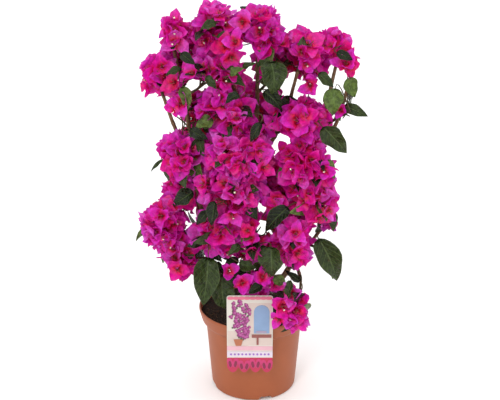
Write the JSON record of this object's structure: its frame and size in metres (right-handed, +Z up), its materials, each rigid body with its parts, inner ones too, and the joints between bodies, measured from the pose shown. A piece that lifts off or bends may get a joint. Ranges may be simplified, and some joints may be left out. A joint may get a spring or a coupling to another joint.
{
  "type": "potted bougainvillea bush",
  "caption": "Flowering bougainvillea shrub trained as a fan, with forked woody stems, magenta bracts and green leaves, in a round nursery pot with a care card.",
  "frame": {"origin": "centre of the pot's flat underside, on the pot's axis", "axes": "+Z up the pot's axis to the top of the crown, +X to the right across the fan, and the show side with the card faces -Y"},
  "size_m": [0.3392, 0.2415, 0.5996],
  "materials": {
    "pot_plastic": "terracotta-coloured moulded plastic, satin",
    "potting_soil": "dark peat with brown fibres",
    "label_card": "printed card, satin",
    "bark": "rough young bark",
    "blossom": "thin papery bracts",
    "leaf": "smooth leaf, satin"
  },
  "bodies": {
    "root": {"pot": "pot_plastic", "soil": "potting_soil", "label": "label_card", "trunk": "bark", "stem_centre": "bark", "stem_left": "bark", "stem_right": "bark", "bough_foot_left": "bark", "bough_foot_right": "bark", "bough_low_left": "bark", "bough_low_right": "bark", "bough_high_left": "bark", "bough_high_right": "bark", "bough_high_centre": "bark", "bough_top_left": "bark", "blossom_top_outer_left": "blossom", "blossom_top_left": "blossom", "blossom_top_centre": "blossom", "blossom_top_right": "blossom", "blossom_top_far_right": "blossom", "blossom_left_shoulder": "blossom", "blossom_upper_left": "blossom", "blossom_high_centre": "blossom", "blossom_high_right": "blossom", "blossom_mid_left": "blossom", "blossom_mid_centre": "blossom", "blossom_mid_right": "blossom", "blossom_inner_centre": "blossom", "blossom_inner_right": "blossom", "blossom_far_left": "blossom", "blossom_low_left": "blossom", "blossom_low_inner": "blossom", "blossom_low_centre": "blossom", "blossom_low_right": "blossom", "blossom_far_right": "blossom", "blossom_foot_centre": "blossom", "blossom_foot_right": "blossom", "blossom_back_top_left": "blossom", "blossom_back_top_right": "blossom", "blossom_back_high_left": "blossom", "blossom_back_high_centre": "blossom", "blossom_back_high_right": "blossom", "blossom_back_low_left": "blossom", "blossom_back_low_centre": "blossom", "blossom_back_low_right": "blossom", "blossom_back_foot": "blossom", "leaf_high_centre": "leaf", "leaf_high_right": "leaf", "leaf_mid_left": "leaf", "leaf_low_centre": "leaf", "leaf_right_drop": "leaf", "leaf_foot_left": "leaf", "leaf_foot_back": "leaf"}
  },
  "joints": []
}
